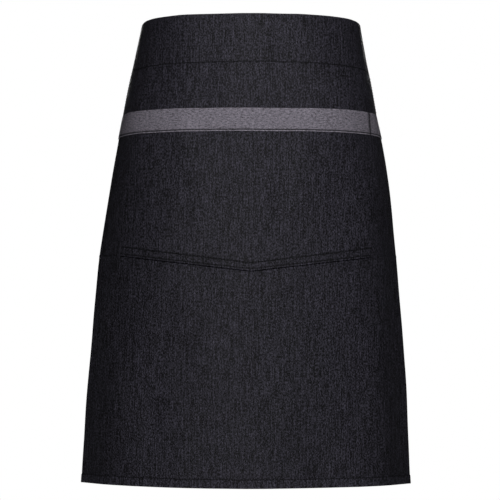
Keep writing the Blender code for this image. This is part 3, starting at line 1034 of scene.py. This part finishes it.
def make_tail(side, name, node):
    """A free end that hangs from the knot, gathered at its top."""
    top = -KNOT_SIZE[2] / 2 + TAIL_SINK
    shares = np.linspace(0, 1, TAIL_POINTS)
    width = TIE_WIDTH * (TAIL_GATHER_SHARE + (1 - TAIL_GATHER_SHARE) * ease(shares * 3))
    middle = side * (TIE_WIDTH * TAIL_GATHER_SHARE / 4 + TAIL_SPREAD * shares**1.5)
    swell = KNOT_SIZE[1] / 4 * np.sin(math.pi * shares)
    layer = side * (TIE_THICK / 2 + GAP) - TIE_THICK / 2
    z = top - (TAIL_LENGTH + top + KNOT_SIZE[2] / 2) * shares
    fronts, backs = [], []
    for offset in tie_offsets():
        edge = offset / TIE_WIDTH
        x = middle - width * edge
        pleat = TAIL_PLEAT * np.cos(edge * 3 * math.pi) * (1 - ease(shares * 2.2))
        y = KNOT_Y + layer + swell + pleat
        thick = TIE_THICK / 2 - tie_inset(offset)
        fronts.append(np.stack((x, y - thick, z), -1))
        backs.append(np.stack((x, y + thick, z), -1))
    piece, length = ribbon(name, fronts[::-1], backs[::-1], node)


def bulge(value):
    """A sine or cosine, made a little boxy."""
    return np.sign(value) * np.abs(value) ** KNOT_SQUARENESS


def make_knot():
    """The tied knot: one turn of the tie round the other, drawn tight."""
    around = np.linspace(0, 2 * math.pi, KNOT_COLUMNS, endpoint=False)
    polar = np.linspace(KNOT_POLE, math.pi - KNOT_POLE, KNOT_ROWS)
    a, p = np.meshgrid(around, polar)
    x = bulge(np.cos(p))
    y = bulge(np.sin(p)) * bulge(np.cos(a))
    z = bulge(np.sin(p)) * bulge(np.sin(a))
    wrap = np.exp(-((x / KNOT_WRAP_SHARE) ** 4))
    size = KNOT_CORE + KNOT_WRAP * wrap
    for depth, waves, phase in KNOT_PLEATS:
        size = size + depth * wrap * np.cos(waves * (x + KNOT_PLEAT_SLANT * z) + phase)
    half = np.array(KNOT_SIZE) / 2
    points = np.stack((x * half[0], y * half[1] * size + KNOT_Y, z * half[2] * size), -1)
    index = np.arange(KNOT_ROWS * KNOT_COLUMNS).reshape(KNOT_ROWS, KNOT_COLUMNS)
    ahead = np.roll(index, -1, axis=1)
    walls = np.stack((index[:-1], index[1:], ahead[1:], ahead[:-1]), -1).reshape(-1, 4).tolist()
    faces = walls + [index[0].tolist(), index[-1, ::-1].tolist()]
    mesh = bpy.data.meshes.new("knot_cloth")
    mesh.from_pydata(points.reshape(-1, 3).tolist(), [], faces)
    set_flat(mesh, np.stack((points[..., 0], a * half[2]), -1).reshape(-1, 2), faces)
    for label in ("wear_and_painted_light", "dark"):
        set_values(mesh, label, np.zeros(index.size))
    add_piece("knot_cloth", mesh, "black_tie_cloth", "tie_knot")


# Floor, light and camera

def floor_material():
    """A pale floor that melts into the background. It throws hardly any light up the cloth."""
    n = Nodes("pale_floor")
    n.put(n.shader.inputs["Base Color"], (0.3, 0.3, 0.3, 1.0))
    n.put(n.shader.inputs["Roughness"], 0.8)
    spot = n.add("ShaderNodeTexCoord").outputs["Object"]
    far = n.add("ShaderNodeVectorMath", {0: spot}, operation="LENGTH").outputs["Value"]
    fade = n.add("ShaderNodeMapRange", {"Value": far, **FLOOR_GLOW})
    glow = n.add("ShaderNodeEmission", {"Color": (1.0, 1.0, 1.0, 1.0), "Strength": fade.outputs[0]})
    plain = n.shader.outputs[0]
    both = n.add("ShaderNodeAddShader", {0: plain, 1: glow.outputs[0]})
    seen = n.add("ShaderNodeLightPath").outputs["Is Camera Ray"]
    mix = n.add("ShaderNodeMixShader", {0: seen, 1: plain, 2: both.outputs[0]})
    n.put(n.tree.nodes["Material Output"].inputs["Surface"], mix.outputs[0])
    return n.material


def make_floor():
    """A pale studio floor, a metre below the waist."""
    signs = ((-1, -1), (1, -1), (1, 1), (-1, 1))
    corners = [(x * FLOOR_HALF, y * FLOOR_HALF, FLOOR_LEVEL) for x, y in signs]
    mesh = bpy.data.meshes.new("floor")
    mesh.from_pydata(corners, [], [(0, 1, 2, 3)])
    mesh.materials.append(floor_material())
    new_object("floor", mesh)


def area_light(name, place_at, aim, size, power):
    """A square soft light that points at a place."""
    light = bpy.data.lights.new(name, "AREA")
    light.size = size
    light.energy = power
    lamp = new_object(name, light)
    lamp.location = place_at
    towards = Vector(aim) - Vector(place_at)
    lamp.rotation_euler = towards.to_track_quat("-Z", "Y").to_euler()


def make_world():
    """White behind the object, and a low even light from all round."""
    world = bpy.data.worlds.new("studio")
    bpy.context.scene.world = world
    world.use_nodes = True
    tree = world.node_tree
    shine = tree.nodes["Background"]
    white = tree.nodes.new("ShaderNodeBackground")
    for node, strength in ((white, WORLD_WHITE), (shine, WORLD_LIGHT)):
        node.inputs["Color"].default_value = (1, 1, 1, 1)
        node.inputs["Strength"].default_value = strength
    path = tree.nodes.new("ShaderNodeLightPath")
    mix = tree.nodes.new("ShaderNodeMixShader")
    tree.links.new(path.outputs["Is Camera Ray"], mix.inputs[0])
    tree.links.new(shine.outputs[0], mix.inputs[1])
    tree.links.new(white.outputs[0], mix.inputs[2])
    tree.links.new(mix.outputs[0], tree.nodes["World Output"].inputs["Surface"])


def make_camera():
    """A level camera straight in front, and plain tones."""
    data = bpy.data.cameras.new("camera")
    data.lens = CAMERA_LENS
    data.sensor_width = CAMERA_SENSOR
    data.clip_end = 50
    camera = new_object("camera", data)
    camera.location = CAMERA_PLACE
    camera.rotation_euler = (math.pi / 2, 0, 0)
    scene = bpy.context.scene
    scene.camera = camera
    scene.view_settings.view_transform = "Standard"
    scene.view_settings.look = "None"


make_panel()
make_band()
make_strip()
make_facing()
make_pocket()
make_seam_stitches()
make_side_stitches("side_stitches_left", -1)
make_side_stitches("side_stitches_right", 1)
make_knot()
make_tie(-1, "tie_cloth_left", "tie_left")
make_tie(1, "tie_cloth_right", "tie_right")
make_tail(-1, "tail_cloth_left", "tie_tail_left")
make_tail(1, "tail_cloth_right", "tie_tail_right")

make_floor()
make_world()
for row in LIGHTS:
    area_light(*row)
make_camera()
